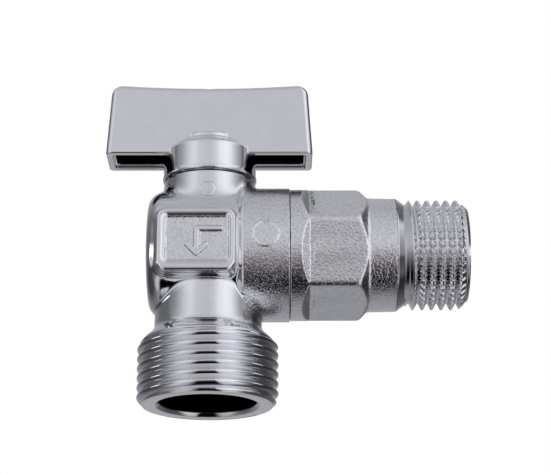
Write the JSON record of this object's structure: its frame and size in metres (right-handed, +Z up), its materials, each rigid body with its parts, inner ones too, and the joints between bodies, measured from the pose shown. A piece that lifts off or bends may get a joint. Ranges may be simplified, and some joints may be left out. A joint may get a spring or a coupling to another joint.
{
  "type": "angle stop valve",
  "caption": "Quarter-turn angle stop valve with a T-handle, male threaded inlet, spanner hexagon and wider male threaded outlet at a right angle.",
  "frame": {"origin": "centre of the inlet's end face, on the inlet's axis", "axes": "+X out of the inlet towards the wall, +Z up along the stem towards the handle, -Y towards the front panel"},
  "size_m": [0.0689, 0.0264, 0.0629],
  "materials": {
    "body_chrome": "chrome plate over a blasted brass forging, machined bright at the outlet",
    "connector_chrome": "chrome plate, blasted on the spanner flats and bright on the thread",
    "handle_chrome": "smooth chrome plate over a zinc casting",
    "ball_chrome": "polished chrome plate over brass",
    "stem_brass": "turned bare brass",
    "seat_ptfe": "white PTFE",
    "seal_rubber": "black nitrile rubber",
    "screw_steel": "zinc-plated steel"
  },
  "bodies": {
    "housing": {"valve_body": "body_chrome", "inlet_connector": "connector_chrome", "connector_o_ring": "seal_rubber", "inlet_seat": "seat_ptfe", "back_seat": "seat_ptfe"},
    "handle_and_stem": {"stem": "stem_brass", "stem_thrust_washer": "seat_ptfe", "stem_o_ring_lower": "seal_rubber", "stem_o_ring_upper": "seal_rubber", "handle": "handle_chrome", "handle_lock_washer": "screw_steel", "handle_screw": "screw_steel"},
    "ball": {"ball": "ball_chrome"}
  },
  "joints": [
    {"name": "handle_turn", "type": "hinge", "parent": "housing", "child": "handle_and_stem", "pos_m": [-0.049, 0, 0.02], "axis": [0, 0, -1], "range_deg": [0, 90]},
    {"name": "ball_turn", "type": "hinge", "parent": "housing", "child": "ball", "pos_m": [-0.049, 0, 0], "axis": [0, 0, -1], "range_deg": [0, 90]}
  ],
  "couplings": [
    {"joint": "ball_turn", "follows": "handle_turn", "ratio": 1}
  ]
}
